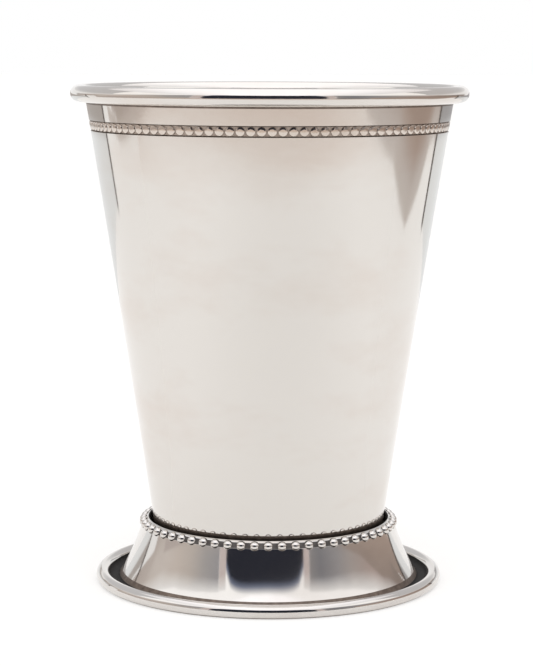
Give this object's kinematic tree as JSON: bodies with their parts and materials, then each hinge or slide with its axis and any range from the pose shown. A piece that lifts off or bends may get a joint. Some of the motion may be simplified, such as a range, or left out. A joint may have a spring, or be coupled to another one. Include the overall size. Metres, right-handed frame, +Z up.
{
  "type": "julep cup",
  "caption": "Tapered polished-metal drinking cup with a rolled rim, a flat beaded border under it, and a beaded, flared foot that it stands on.",
  "frame": {"origin": "on the table, under the middle of the foot", "axes": "+Z up along the cup's axis; the cup is round, so +X and +Y are free"},
  "size_m": [0.088, 0.088, 0.1112],
  "materials": {
    "warm_polished_nickel": "spun and polished, faint level polishing lines",
    "rolled_bead_nickel": "polished flat beads, dark in the gaps",
    "bright_polished_nickel": "mirror polished",
    "bright_bead_nickel": "mirror polished round beads",
    "soft_solder": "dull grey soft solder"
  },
  "bodies": {
    "root": {"beaker": "warm_polished_nickel", "rim_bead_strip": "rolled_bead_nickel", "foot": "bright_polished_nickel", "collar_bead_strip": "bright_bead_nickel", "solder_ring": "soft_solder"}
  },
  "joints": []
}
